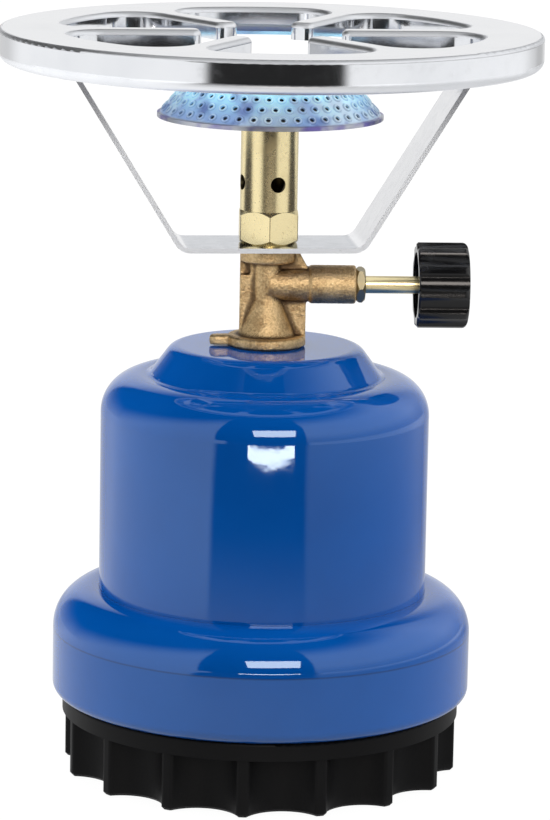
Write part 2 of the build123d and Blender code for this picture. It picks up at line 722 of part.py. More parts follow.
# Pan ring: pressed sheet with a curled band outside and flanged fingers inside
with BuildPart() as pan_ring:
    with BuildSketch(Plane.XY.offset(ring_top)):
        Circle(ring_radius)
        add(ring_opening.sketch_local, mode=Mode.SUBTRACT)
    extrude(amount=-ring_sheet)
    with BuildSketch(Plane.XZ):
        curl_x = ring_radius - ring_curl_radius
        curl_z = ring_top - ring_band_height + ring_curl_radius
        with BuildLine():
            outer_curl = CenterArc((curl_x, curl_z), ring_curl_radius, -90, 90)
            inner_curl = CenterArc((curl_x, curl_z), ring_curl_radius - ring_sheet, -90, 90)
            band_top_outer = (ring_radius, ring_top)
            band_top_inner = (ring_radius - ring_sheet, ring_top)
            Line(outer_curl @ 1, band_top_outer)
            Line(inner_curl @ 1, band_top_inner)
            Line(band_top_outer, band_top_inner)
            Line(outer_curl @ 0, inner_curl @ 0)
        make_face()
    revolve(axis=Axis.Z)
    with BuildSketch(Plane.XY.offset(ring_top)):
        add(ring_opening.sketch_local)
        offset(amount=ring_sheet)
        add(ring_opening.sketch_local, mode=Mode.SUBTRACT)
    extrude(amount=-ring_flange_depth)
    top_face = pan_ring.faces().sort_by(Axis.Z)[-1]
    fillet(top_face.inner_wires()[0].edges(), ring_flange_rounding)
    top_face = pan_ring.faces().filter_by(Axis.Z).sort_by(Axis.Z)[-1]
    fillet(top_face.outer_wire().edges(), ring_edge_rounding)
pan_ring.part.label = "pan_ring"
export_step(pan_ring.part, "parts/pan_ring.step")

# Mixing tube with its hexagon foot
hex_blank = hexagon_turning(hex_width / sqrt(3), hex_height, hex_chamfer, Plane.XY.offset(plate_top))
with BuildPart() as mixing_tube:
    with BuildSketch(Plane.XY.offset(plate_top)) as hex_outline:
        RegularPolygon(hex_width / 2, 6, major_radius=False, rotation=hex_turn)
        fillet(hex_outline.vertices(), hex_edge_rounding)
    extrude(amount=hex_height)
    add(hex_blank, mode=Mode.INTERSECT)
    with BuildSketch(Plane.XY.offset(hex_top - hex_shoulder_height)):
        Circle(tube_radius)
    extrude(amount=tube_top - hex_top + hex_shoulder_height)
    with BuildSketch(Plane.XY.offset(plate_top - cut_overrun)):
        Circle(valve_stud_radius + seat_gap)
    extrude(amount=tube_length, mode=Mode.SUBTRACT)
    with BuildSketch(Plane.XY.offset(stud_top + seat_gap)):
        Circle(tube_bore_radius)
    extrude(amount=tube_top - stud_top + cut_overrun, mode=Mode.SUBTRACT)
    with BuildSketch(Plane.XY.offset(tube_top - gauze_thickness)):
        Circle(tube_bore_radius + gauze_ledge + seat_gap)
    extrude(amount=gauze_thickness + cut_overrun, mode=Mode.SUBTRACT)
    with Locations((0, 0, plate_top + air_hole_rise)):
        with PolarLocations(tube_radius, air_hole_count, start_angle=air_hole_angle):
            Cylinder(air_hole_radius, tube_radius, rotation=(0, 90, 0), mode=Mode.SUBTRACT)
mixing_tube.part.label = "mixing_tube"
export_step(mixing_tube.part, "parts/mixing_tube.step")

# Perforated disc in the mouth of the mixing tube
with BuildPart() as flame_gauze:
    gauze_radius = tube_bore_radius + gauze_ledge
    with BuildSketch(Plane.XY.offset(tube_top - gauze_thickness)):
        Circle(gauze_radius)
        with GridLocations(gauze_pitch, gauze_pitch, gauze_count, gauze_count) as gauze_grid:
            gauze_places = [p.position for p in gauze_grid.local_locations]
        open_places = [p for p in gauze_places if p.length < gauze_radius - gauze_ledge - gauze_rim]
        with Locations(*open_places):
            Circle(gauze_hole_radius, mode=Mode.SUBTRACT)
    extrude(amount=gauze_thickness)
flame_gauze.part.label = "flame_gauze"
export_step(flame_gauze.part, "parts/flame_gauze.step")

# Gas jet in the top of the valve stud
with BuildPart() as gas_jet:
    with BuildSketch(Plane.XY.offset(stud_top - jet_thread_length)):
        Circle(jet_thread_radius)
    extrude(amount=jet_thread_length)
    with BuildSketch(Plane.XY.offset(stud_top)):
        Circle(jet_head_radius)
    extrude(amount=jet_head_height)
    chamfer(gas_jet.faces().sort_by(Axis.Z)[-1].edges(), jet_chamfer)
    with BuildSketch(Plane.XY.offset(stud_top - jet_thread_length)):
        Circle(jet_hole_radius)
    extrude(amount=jet_thread_length + jet_head_height, mode=Mode.SUBTRACT)
gas_jet.part.label = "gas_jet"
export_step(gas_jet.part, "parts/gas_jet.step")

# Burner pan: shallow dish brazed to the tube
with BuildPart() as burner_pan:
    pan_bore = tube_radius + seat_gap
    pan_edge = burner_radius - burner_sheet - seat_gap
    with BuildSketch(Plane.XZ):
        with BuildLine():
            Polyline(
                (pan_bore, pan_edge_z - pan_drop),
                (pan_edge, pan_edge_z),
                (pan_edge, pan_edge_z + pan_sheet),
                (pan_bore, pan_edge_z + pan_sheet - pan_drop),
                close=True,
            )
        make_face()
    revolve(axis=Axis.Z)
burner_pan.part.label = "burner_pan"
export_step(burner_pan.part, "parts/burner_pan.step")

# Burner cap: perforated cone with a dished top and a lip over the pan
cone_run = burner_cone_foot - burner_cone_top
cone_tilt = degrees(atan2(burner_cone_height, cone_run))
with BuildPart() as burner_cap:
    cap_top = rim_top + burner_cone_height
    with BuildSketch(Plane.XZ):
        with BuildLine():
            Polyline(
                (0, rim_top - burner_lip_height),
                (burner_radius, rim_top - burner_lip_height),
                (burner_radius, rim_top),
                (burner_cone_foot, rim_top),
                (burner_cone_top, cap_top),
                (burner_dish_radius + burner_dish_slope, cap_top),
                (burner_dish_radius, cap_top - burner_dish_depth),
                (0, cap_top - burner_dish_depth),
                close=True,
            )
        make_face()
    revolve(axis=Axis.Z)
    cap_edges = burner_cap.edges().filter_by(GeomType.CIRCLE)
    fillet(cap_edges.filter_by_position(Axis.Z, cap_top - seat_gap, cap_top + seat_gap), burner_rounding)
    offset(amount=-burner_sheet, openings=burner_cap.faces().sort_by(Axis.Z)[0])
    for row, share in enumerate(burner_row_shares):
        row_radius = burner_cone_foot - share * cone_run
        row_z = rim_top + share * burner_cone_height
        row_start = (row % 2) * 180 / burner_hole_count
        with Locations((0, 0, row_z)):
            with PolarLocations(row_radius, burner_hole_count, start_angle=row_start):
                Cylinder(
                    burner_hole_radius, 4 * burner_sheet, rotation=(0, 90 - cone_tilt, 0), mode=Mode.SUBTRACT)
burner_cap.part.label = "burner_cap"
export_step(burner_cap.part, "parts/burner_cap.step")
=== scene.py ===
import math

import bpy
from mathutils import Matrix, Vector


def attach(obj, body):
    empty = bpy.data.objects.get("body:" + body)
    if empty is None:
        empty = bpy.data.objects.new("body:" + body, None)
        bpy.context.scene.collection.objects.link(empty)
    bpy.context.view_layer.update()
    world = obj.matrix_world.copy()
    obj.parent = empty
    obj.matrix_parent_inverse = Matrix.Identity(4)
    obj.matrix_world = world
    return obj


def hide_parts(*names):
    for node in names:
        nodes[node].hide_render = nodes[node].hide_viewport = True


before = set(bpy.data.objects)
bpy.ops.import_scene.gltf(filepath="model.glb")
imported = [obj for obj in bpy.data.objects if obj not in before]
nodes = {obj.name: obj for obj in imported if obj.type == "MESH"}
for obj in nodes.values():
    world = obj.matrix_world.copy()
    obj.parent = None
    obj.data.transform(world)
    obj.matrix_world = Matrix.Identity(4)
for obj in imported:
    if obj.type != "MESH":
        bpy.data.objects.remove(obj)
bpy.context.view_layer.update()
print("frame loaded:", len(nodes), "nodes")


# shader maths as plain expressions on sockets
class Wire:
    def __init__(self, tree, socket=None):
        self.tree = tree
        self.socket = socket

    def node(self, kind, settings=None, values=None, output=0):
        made = self.tree.nodes.new("ShaderNode" + kind)
        for key, value in (settings or {}).items():
            setattr(made, key, value)
        for key, value in (values or {}).items():
            if isinstance(value, Wire):
                self.tree.links.new(value.socket, made.inputs[key])
            else:
                made.inputs[key].default_value = value
        return Wire(self.tree, made.outputs[output]) if made.outputs else made

    def math(self, operation, a, b=0.0):
        return self.node("Math", {"operation": operation}, {0: a, 1: b})

    def __add__(self, other):
        return self.math("ADD", self, other)

    def __radd__(self, other):
        return self.math("ADD", other, self)

    def __sub__(self, other):
        return self.math("SUBTRACT", self, other)

    def __rsub__(self, other):
        return self.math("SUBTRACT", other, self)

    def __mul__(self, other):
        return self.math("MULTIPLY", self, other)

    def __rmul__(self, other):
        return self.math("MULTIPLY", other, self)

    def __truediv__(self, other):
        return self.math("DIVIDE", self, other)

    def __rtruediv__(self, other):
        return self.math("DIVIDE", other, self)

    def part(self, axis):
        return self.node("SeparateXYZ", None, {"Vector": self}, axis)

    def flatLength(self):  # length along X and Y alone
        x, y = self.part("X"), self.part("Y")
        return self.math("SQRT", x * x + y * y)

    def spread(self, low, high, first=0.0, last=1.0):
        values = {"Value": self, "From Min": low, "From Max": high, "To Min": first, "To Max": last}
        return self.node("MapRange", {"interpolation_type": "SMOOTHSTEP"}, values)

    def tint(self, first, last):
        return self.node("Mix", {"data_type": "RGBA"}, {0: self, 6: first, 7: last}, 2)

    def noise(self, spot, scale, detail, roughness=0.55):
        return self.node("TexNoise", None,
                         {"Vector": spot, "Scale": scale, "Detail": detail, "Roughness": roughness})

    def cells(self, spot, scale, output=0):
        return self.node("TexVoronoi", None, {"Vector": spot, "Scale": scale}, output)

    def bump(self, height, strength, distance):
        return self.node("Bump", None, {"Strength": strength, "Distance": distance, "Height": height})


def startMaterial(name):
    material = bpy.data.materials.new(name)
    material.use_nodes = True
    material.node_tree.nodes.clear()
    wire = Wire(material.node_tree)
    spot = wire.node("TexCoord", None, None, "Object")
    return material, wire, spot


def finishMaterial(wire, values):
    shader = wire.node("BsdfPrincipled", None, values)
    wire.node("OutputMaterial", None, {"Surface": shader})


def faceLevel(wire):  # 1 on a level face, 0 on an upright one
    facing = wire.node("TexCoord", None, None, "Normal")
    return wire.math("ABSOLUTE", facing.part("Z"))


def colour(red, green, blue):
    return (red, green, blue, 1.0)


# in the finishes below a noise is its scale, detail and roughness, a bump its strength and distance

# blue enamel of the can and collar, with a painted reflection at the top of the collar's wall: a thin
# dark line for the horizon between floor and wall
enamel = {
    "deep": colour(0.0, 0.074, 0.345),
    "light": colour(0.001, 0.084, 0.38),
    "cloud": (28.0, 3.0),
    "cloudRange": (0.3, 0.7),
    "smear": (75.0, 5.0, 0.65),
    "smearRange": (0.35, 0.75),
    "gloss": (0.02, 0.05),
    "index": 1.5,
    "shine": 0.95,
    "shineTint": colour(0.7, 0.87, 1.0),
    "peel": (210.0, 2.0),
    "peelBump": (0.25, 0.00004),
    "pressed": colour(0.0, 0.014, 0.075),
    "horizonHeight": 0.0409,
    "horizonWidth": (0.0001, 0.00038),
    "horizonShare": 0.5,
    "horizonRough": 0.1,
}


def makeBlueEnamel():
    material, wire, spot = startMaterial("blueEnamel")
    cloud = wire.noise(spot, *enamel["cloud"]).spread(*enamel["cloudRange"])
    smear = wire.noise(spot, *enamel["smear"]).spread(*enamel["smearRange"], *enamel["gloss"])
    peel = wire.noise(spot, *enamel["peel"])
    # painted reflection: a thin dark line round the top of the collar's wall, the horizon between floor
    # and wall, a little less glossy along it
    fromHorizon = wire.math("ABSOLUTE", spot.part("Z") - enamel["horizonHeight"])
    press = fromHorizon.spread(*enamel["horizonWidth"], enamel["horizonShare"], 0.0)
    paint = cloud.tint(enamel["deep"], enamel["light"])
    finishMaterial(wire, {
        "Base Color": press.tint(paint, enamel["pressed"]),
        "Roughness": smear + press * enamel["horizonRough"],
        "Normal": wire.bump(peel, *enamel["peelBump"]),
        "IOR": enamel["index"],
        "Specular IOR Level": enamel["shine"],
        "Specular Tint": enamel["shineTint"],
    })
    return material


# moulded plastic of the base, scuffed at the feet of the ribs
satinPlastic = {
    "deep": colour(0.0035, 0.0035, 0.004),
    "worn": colour(0.014, 0.014, 0.015),
    "cloud": (60.0, 4.0),
    "cloudShare": 0.25,
    "footWear": (0.0, 0.0035),
    "scuffRange": (0.4, 0.7),
    "scuffShare": 0.8,
    "rough": 0.4,
    "cloudRough": 0.16,
    "scuffRough": 0.15,
    "shine": 0.11,
    "grain": (2600.0, 2.0),
    "grainBump": (0.22, 0.00008),
}


def makeSatinPlastic():
    material, wire, spot = startMaterial("satinPlastic")
    grain = wire.noise(spot, *satinPlastic["grain"])
    cloud = wire.noise(spot, *satinPlastic["cloud"])
    foot = spot.part("Z").spread(*satinPlastic["footWear"], 1.0, 0.0)
    scuff = foot * cloud.spread(*satinPlastic["scuffRange"])
    wear = scuff * satinPlastic["scuffShare"] + cloud * satinPlastic["cloudShare"]
    rough = satinPlastic["rough"] + cloud * satinPlastic["cloudRough"]
    finishMaterial(wire, {
        "Base Color": wear.tint(satinPlastic["deep"], satinPlastic["worn"]),
        "Roughness": rough + scuff * satinPlastic["scuffRough"],
        "Specular IOR Level": satinPlastic["shine"],
        "Normal": wire.bump(grain, *satinPlastic["grainBump"]),
    })
    return material


# smoother plastic of the knob
knobPlastic = {
    "deep": colour(0.006, 0.006, 0.0065),
    "worn": colour(0.016, 0.016, 0.017),
    "cloud": (160.0, 4.0),
    "wornRange": (0.45, 0.8),
    "smearRange": (0.3, 0.8),
    "gloss": (0.14, 0.22),
    "shine": 0.4,
    "grain": (1900.0, 2.0),
    "grainBump": (0.12, 0.00006),
}


def makeKnobPlastic():
    material, wire, spot = startMaterial("knobPlastic")
    grain = wire.noise(spot, *knobPlastic["grain"])
    cloud = wire.noise(spot, *knobPlastic["cloud"])
    worn = cloud.spread(*knobPlastic["wornRange"])
    finishMaterial(wire, {
        "Base Color": worn.tint(knobPlastic["deep"], knobPlastic["worn"]),
        "Roughness": cloud.spread(*knobPlastic["smearRange"], *knobPlastic["gloss"]),
        "Specular IOR Level": knobPlastic["shine"],
        "Normal": wire.bump(grain, *knobPlastic["grainBump"]),
    })
    return material


# sand-cast brass of the valve, with painted shade in its corners
castBrass = {
    "dark": colour(0.42, 0.275, 0.13),
    "mid": colour(0.76, 0.57, 0.31),
    "spark": colour(0.98, 0.82, 0.52),
    "cornerShade": colour(0.12, 0.075, 0.04),
    "cavity": (0.0, 0.055),
    "cloud": (190.0, 4.0),
    "toneRange": (0.34, 0.64),
    "sparkScale": 2600.0,
    "sparkSize": (0.05, 0.22),
    "sparkGrain": (0.5, 0.66),
    "rough": 0.36,
    "cloudRough": 0.2,
    "sparkPolish": 0.15,
    "grain": (1500.0, 3.0, 0.6),
    "grainBump": (0.75, 0.0003),
}


def makeCastBrass():
    material, wire, spot = startMaterial("castBrass")
    grain = wire.noise(spot, *castBrass["grain"])
    cloud = wire.noise(spot, *castBrass["cloud"])
    spark = wire.cells(spot, castBrass["sparkScale"]).spread(*castBrass["sparkSize"], 1.0, 0.0)
    glint = spark * grain.spread(*castBrass["sparkGrain"])
    cavity = wire.node("Attribute", {"attribute_name": "cavity"}, None, "Fac")
    tone = (cloud * 0.5 + grain * 0.5).spread(*castBrass["toneRange"])
    base = tone.tint(castBrass["dark"], castBrass["mid"])
    # painted shade: dark brown where the cavity map finds corners
    base = cavity.spread(*castBrass["cavity"]).tint(castBrass["cornerShade"], base)
    rough = castBrass["rough"] + cloud * castBrass["cloudRough"]
    finishMaterial(wire, {
        "Base Color": glint.tint(base, castBrass["spark"]),
        "Metallic": 1.0,
        "Roughness": rough - glint * castBrass["sparkPolish"],
        "Normal": wire.bump(grain, *castBrass["grainBump"]),
    })
    return material


# turned brass, with tool lines round the tube's or the spindle's axis
turnedBrass = {
    "bright": colour(0.97, 0.83, 0.48),
    "dull": colour(0.42, 0.37, 0.24),
    "stain": colour(0.62, 0.46, 0.2),
    "shade": colour(0.05, 0.035, 0.015),
    "bore": (0.007, 0.0079),
    "cloud": (150.0, 5.0, 0.62),
    "cloudRange": (0.5, 0.8),
    "cloudStain": 0.35,
    "cloudRough": 0.1,
    "specks": (1200.0, 2.0),
    "speckRange": (0.62, 0.72),
    "speckStain": 0.3,
    "speckRough": 0.05,
    "speckDepth": 0.2,
    "lines": {"Scale": 5200.0, "Detail": 2.0},
    "lineBump": (0.1, 0.00003),
}
turnedFinishes = {
    "turnedBrassRound": {"along": "Z", "tone": "bright", "rough": 0.22, "hollow": False},
    "turnedBrassSpindle": {"along": "X", "tone": "bright", "rough": 0.24, "hollow": False},
    "tubeBrass": {"along": "Z", "tone": "bright", "rough": 0.22, "hollow": True},
    "dullBrassNut": {"along": "X", "tone": "dull", "rough": 0.36, "hollow": False},
}


def makeTurnedBrass(name):
    look = turnedFinishes[name]
    material, wire, spot = startMaterial(name)
    lines = wire.node("TexNoise", {"noise_dimensions": "1D"},
                      {"W": spot.part(look["along"]), **turnedBrass["lines"]})
    cloud = wire.noise(spot, *turnedBrass["cloud"])
    specks = wire.noise(spot, *turnedBrass["specks"]).spread(*turnedBrass["speckRange"])
    stain = cloud.spread(*turnedBrass["cloudRange"]) * turnedBrass["cloudStain"]
    stain = stain + specks * turnedBrass["speckStain"]
    base = stain.tint(turnedBrass[look["tone"]], turnedBrass["stain"])
    if look["hollow"]:  # dark inside the tube
        inside = spot.flatLength().spread(*turnedBrass["bore"])
        base = inside.tint(turnedBrass["shade"], base)
    rough = look["rough"] + cloud * turnedBrass["cloudRough"]
    finishMaterial(wire, {
        "Base Color": base,
        "Metallic": 1.0,
        "Roughness": rough + specks * turnedBrass["speckRough"],
        "Normal": wire.bump(lines - specks * turnedBrass["speckDepth"], *turnedBrass["lineBump"]),
    })
    return material


# bright chrome of the pan ring, duller round its bends
chromePlate = {
    "bright": colour(0.83, 0.845, 0.875),
    "haze": colour(0.73, 0.75, 0.785),
    "cloud": (45.0, 4.0),
    "hazeRange": (0.4, 0.75),
    "hazeShare": 0.5,
    "rough": 0.08,
    "cloudRough": 0.03,
    "smear": (320.0, 5.0, 0.65),
    "smearRange": (0.45, 0.8),
    "smearRough": 0.07,
    "bendStart": (0.05, 0.25),
    "bendEnd": (0.9, 0.995),
    "bendRough": 0.3,
    "ripple": (120.0, 2.0),
    "rippleBump": (0.08, 0.00006),
}


def makeChromePlate():
    material, wire, spot = startMaterial("chromePlate")
    cloud = wire.noise(spot, *chromePlate["cloud"])
    haze = cloud.spread(*chromePlate["hazeRange"]) * chromePlate["hazeShare"]
    smear = wire.noise(spot, *chromePlate["smear"]).spread(*chromePlate["smearRange"])
    ripple = wire.noise(spot, *chromePlate["ripple"])
    level = faceLevel(wire)
    bend = level.spread(*chromePlate["bendStart"]) * level.spread(*chromePlate["bendEnd"], 1.0, 0.0)
    rough = chromePlate["rough"] + smear * chromePlate["smearRough"]
    rough = rough + cloud * chromePlate["cloudRough"] + bend * chromePlate["bendRough"]
    finishMaterial(wire, {
        "Base Color": haze.tint(chromePlate["bright"], chromePlate["haze"]),
        "Metallic": 1.0,
        "Roughness": rough,
        "Normal": wire.bump(ripple, *chromePlate["rippleBump"]),
    })
    return material


# zinc plated strip of the bracket, with painted shade on its level faces and towards the tops of its
# sheared edges, which are rough
zincStrip = {
    "pale": colour(0.95, 0.955, 0.975),
    "grey": colour(0.86, 0.87, 0.9),
    # dull and worn are the level faces' colours, darker for painted shade
    "dull": colour(0.575, 0.6, 0.65),
    "worn": colour(0.42, 0.445, 0.49),
    "level": (0.9, 0.99),
    "shear": colour(0.95, 0.95, 0.96),
    "topShadeGrey": colour(0.36, 0.36, 0.375),
    "topShade": (0.176, 0.2),
    "edge": 0.0119,
    "edgeMetal": 0.12,
    "turn": math.radians(3.5),
    "spangleScale": 420.0,
    "flakeShare": 0.35,
    "cloud": (90.0, 4.0),
    "cloudShare": 0.5,
    "pit": colour(0.2, 0.2, 0.21),
    "pits": (900.0, 3.0, 0.7),
    "pitRange": (0.62, 0.7),
    "pitShare": 0.1,
    "edgePitShare": 0.05,
    "rough": 0.08,
    "flakeRough": 0.04,
    "cloudRough": 0.06,
    "pitRough": 0.3,
    "edgeRough": 0.35,
    "cloudDepth": 0.1,
    "pitDepth": 0.04,
    "bump": (0.3, 0.00012),
}


def makeZincStrip():
    material, wire, spot = startMaterial("zincStrip")
    flake = wire.cells(spot, zincStrip["spangleScale"], 1).part("X")
    cloud = wire.noise(spot, *zincStrip["cloud"])
    pits = wire.noise(spot, *zincStrip["pits"]).spread(*zincStrip["pitRange"])
    across = spot.part("Y") * math.cos(zincStrip["turn"]) - spot.part("X") * math.sin(zincStrip["turn"])
    edge = wire.math("GREATER_THAN", wire.math("ABSOLUTE", across), zincStrip["edge"])
    level = faceLevel(wire).spread(*zincStrip["level"])
    topShade = spot.part("Z").spread(*zincStrip["topShade"])
    mottle = flake * zincStrip["flakeShare"] + cloud * zincStrip["cloudShare"]
    base = mottle.tint(zincStrip["pale"], zincStrip["grey"])
    # painted shade: the level faces take the darker dull and worn tones
    base = level.tint(base, mottle.tint(zincStrip["dull"], zincStrip["worn"]))
    # painted shade: the sheared edges darken towards their tops, under the ring and burner
    base = edge.tint(base, topShade.tint(zincStrip["shear"], zincStrip["topShadeGrey"]))
    pitted = pits * (edge * zincStrip["edgePitShare"] + zincStrip["pitShare"])
    rough = zincStrip["rough"] + flake * zincStrip["flakeRough"] + cloud * zincStrip["cloudRough"]
    rough = rough + pitted * zincStrip["pitRough"] + edge * zincStrip["edgeRough"]
    finishMaterial(wire, {
        "Base Color": pitted.tint(base, zincStrip["pit"]),
        "Metallic": 1.0 - edge * (1.0 - zincStrip["edgeMetal"]),
        "Roughness": rough,
        "Normal": wire.bump(cloud * zincStrip["cloudDepth"] - pits * zincStrip["pitDepth"],
                            *zincStrip["bump"]),
    })
    return material


# outer face of the burner's cone, for its painted flame light and its eyelets
burnerCone = {"footRadius": 0.0313, "topRadius": 0.021, "footHeight": 0.189854, "height": 0.0117}
coneRun = burnerCone["footRadius"] - burnerCone["topRadius"]
coneLean = math.atan2(burnerCone["height"], coneRun)  # tilt of the face's normal from upright

# sheet of the burner head with painted flame light: its pale blue, indigo and cyan tints and its cyan
# glow stand for the light of the flame
flameLitSteel = {
    "steel": colour(0.64, 0.82, 0.99),
    "blue": colour(0.36, 0.56, 0.95),
    "cyan": colour(0.56, 0.93, 1.0),
    "navy": colour(0.03, 0.07, 0.3),
    "indigo": colour(0.1, 0.17, 0.52),
    "crestHighlight": colour(0.92, 0.97, 1.0),
    "grey": colour(0.55, 0.57, 0.63),
    "violet": colour(0.2, 0.17, 0.48),
    "insideShade": colour(0.02, 0.025, 0.045),
    "cloud": (70.0, 3.0),
    "blueRange": (0.4, 0.62),
    "bruise": (95.0, 3.0),
    "bruiseRange": (0.5, 0.64),
    "bruiseShare": 0.75,
    "bruiseFade": 0.6,
    "patch": (130.0, 2.0),
    "glow": colour(0.18, 0.5, 0.68),
    "glowRange": (0.3, 0.56),
    "glowStrength": 0.9,
    "outerLift": (-0.0004, -0.0001),
    "shadeLift": (-0.00003, 0.0001),
    "shadeShare": 0.3,
    "crestLift": (0.00018, 0.00038),
    "crestRange": (0.3, 0.6),
    "crestShare": 0.35,
    "lip": (-0.0001, 0.0005),
    "lipRange": (0.4, 0.65),
    "dish": (0.0195, 0.0205),
    "metal": 0.15,
    "lipMetal": 0.55,
    "rough": 0.24,
    "cloudRough": 0.16,
    "grain": (1800.0, 2.0),
    "grainBump": (0.1, 0.00005),
}


def makeFlameLitSteel():
    material, wire, spot = startMaterial("flameLitSteel")
    cloud = wire.noise(spot, *flameLitSteel["cloud"])
    patch = wire.noise(spot, *flameLitSteel["patch"])
    grain = wire.noise(spot, *flameLitSteel["grain"])
    reach = spot.flatLength()
    height = spot.part("Z") - burnerCone["footHeight"]
    rise = height.spread(0.0, burnerCone["height"])
    # height over the cone's outer face
    lift = (reach - burnerCone["footRadius"]) * math.sin(coneLean) + height * math.cos(coneLean)
    outer = lift.spread(*flameLitSteel["outerLift"])
    crest = lift.spread(*flameLitSteel["crestLift"])
    shade = lift.spread(*flameLitSteel["shadeLift"]) * (1 - crest)
    shine = crest * patch.spread(*flameLitSteel["crestRange"])
    lip = height.spread(*flameLitSteel["lip"], 1.0, 0.0)
    bruise = wire.noise(spot, *flameLitSteel["bruise"]).spread(*flameLitSteel["bruiseRange"])
    bruise = bruise * (1 - rise * flameLitSteel["bruiseFade"])
    # painted flame light: the upper rows turn cyan and glow
    glow = rise * patch.spread(*flameLitSteel["glowRange"])
    lipTint = patch.spread(*flameLitSteel["lipRange"]).tint(flameLitSteel["grey"], flameLitSteel["violet"])
    # painted flame light: pale blue steel clouded with blue and indigo
    skin = cloud.spread(*flameLitSteel["blueRange"]).tint(flameLitSteel["steel"], flameLitSteel["blue"])
    skin = (bruise * flameLitSteel["bruiseShare"]).tint(skin, flameLitSteel["indigo"])
    skin = glow.tint(skin, flameLitSteel["cyan"])
    # painted shade on the eyelets' flanks and painted highlight on their crests
    skin = (shade * flameLitSteel["shadeShare"]).tint(skin, flameLitSteel["navy"])
    skin = (shine * flameLitSteel["crestShare"]).tint(skin, flameLitSteel["crestHighlight"])
    skin = lip.tint(skin, lipTint)
    # painted shade: below the outer face, in the holes and inside the cone, the sheet is near black and
    # does not glow
    skin = outer.tint(flameLitSteel["insideShade"], skin)
    finishMaterial(wire, {
        "Base Color": reach.spread(*flameLitSteel["dish"]).tint(flameLitSteel["grey"], skin),
        "Metallic": flameLitSteel["metal"] + lip * flameLitSteel["lipMetal"],
        "Roughness": flameLitSteel["rough"] + cloud * flameLitSteel["cloudRough"],
        "Normal": wire.bump(grain, *flameLitSteel["grainBump"]),
        "Emission Color": (outer * glow).tint(colour(0, 0, 0), flameLitSteel["glow"]),
        "Emission Strength": flameLitSteel["glowStrength"],
    })
    return material


# plain metals and seals inside: two tones, metal, roughness and grain scale
insideFinishes = {
    "turnedSteel": (colour(0.58, 0.58, 0.6), colour(0.42, 0.42, 0.45), 1.0, 0.28, 900.0),
    "lacqueredTin": (colour(0.5, 0.52, 0.55), colour(0.42, 0.44, 0.47), 0.3, 0.32, 260.0),
    "blackRubber": (colour(0.012, 0.012, 0.013), colour(0.024, 0.024, 0.025), 0.0, 0.7, 1500.0),
    "darkFibre": (colour(0.035, 0.03, 0.028), colour(0.055, 0.045, 0.04), 0.0, 0.7, 1100.0),
    "bluedSteel": (colour(0.07, 0.075, 0.11), colour(0.12, 0.11, 0.14), 0.6, 0.4, 420.0),
}
insideGrain = {
    "grainDetail": 4.0,
    "cloudDetail": 3.0,
    "cloudSize": 8,
    "toneRange": (0.35, 0.65),
    "cloudRough": 0.15,
    "grainBump": (0.15, 0.00006),
}


def makeInsideFinish(name):
    first, last, metal, rough, scale = insideFinishes[name]
    material, wire, spot = startMaterial(name)
    grain = wire.noise(spot, scale, insideGrain["grainDetail"])
    cloud = wire.noise(spot, scale / insideGrain["cloudSize"], insideGrain["cloudDetail"])
    tone = (grain * 0.5 + cloud * 0.5).spread(*insideGrain["toneRange"])
    finishMaterial(wire, {
        "Base Color": tone.tint(first, last),
        "Metallic": metal,
        "Roughness": rough + cloud * insideGrain["cloudRough"],
        "Normal": wire.bump(grain, *insideGrain["grainBump"]),
    })
    return material


turnedLook = {name: makeTurnedBrass(name) for name in turnedFinishes}
insideLook = {name: makeInsideFinish(name) for name in insideFinishes}
enamelLook = makeBlueEnamel()
satinLook = makeSatinPlastic()
flameLitLook = makeFlameLitSteel()
finishes = {
    "upper_can": enamelLook,
    "lower_collar": enamelLook,
    "base_cup": satinLook,
    "thread_ring": satinLook,
    "knob": makeKnobPlastic(),
    "valve_body": makeCastBrass(),
    "mixing_tube": turnedLook["tubeBrass"],
    "gas_jet": turnedLook["turnedBrassRound"],
    "needle_holder": turnedLook["turnedBrassRound"],
    "gas_filter": turnedLook["turnedBrassRound"],
    "gland_nut": turnedLook["dullBrassNut"],
    "spindle": turnedLook["turnedBrassSpindle"],
    "pan_ring": makeChromePlate(),
    "support_bracket": makeZincStrip(),
    "burner_cap": flameLitLook,
    "burner_pan": insideLook["bluedSteel"],
    "flame_gauze": insideLook["bluedSteel"],
    "valve_lock_nut": insideLook["turnedSteel"],
    "piercing_needle": insideLook["turnedSteel"],
    "knob_screw": insideLook["turnedSteel"],
    "cartridge_body": insideLook["lacqueredTin"],
    "cartridge_bottom": insideLook["lacqueredTin"],
    "cartridge_seal": insideLook["blackRubber"],
    "cartridge_pad": insideLook["blackRubber"],
    "spindle_o_ring": insideLook["blackRubber"],
    "flange_gasket": insideLook["darkFibre"],
}
for name, material in finishes.items():
    nodes[name].data.materials.clear()
    nodes[name].data.materials.append(material)
print("finishes set:", len(finishes))


# the valve as a casting: soft edges and a sandy skin
casting = {
    "mergeDistance": 0.000001,
    "voxel": 0.00032,
    "softening": 5,
    "grainSize": 0.0007,
    "grainLayers": 1,
    "grainDepth": 0.00009,
    "cavityBlur": 1.0,
    "cavitySpread": 12,
}


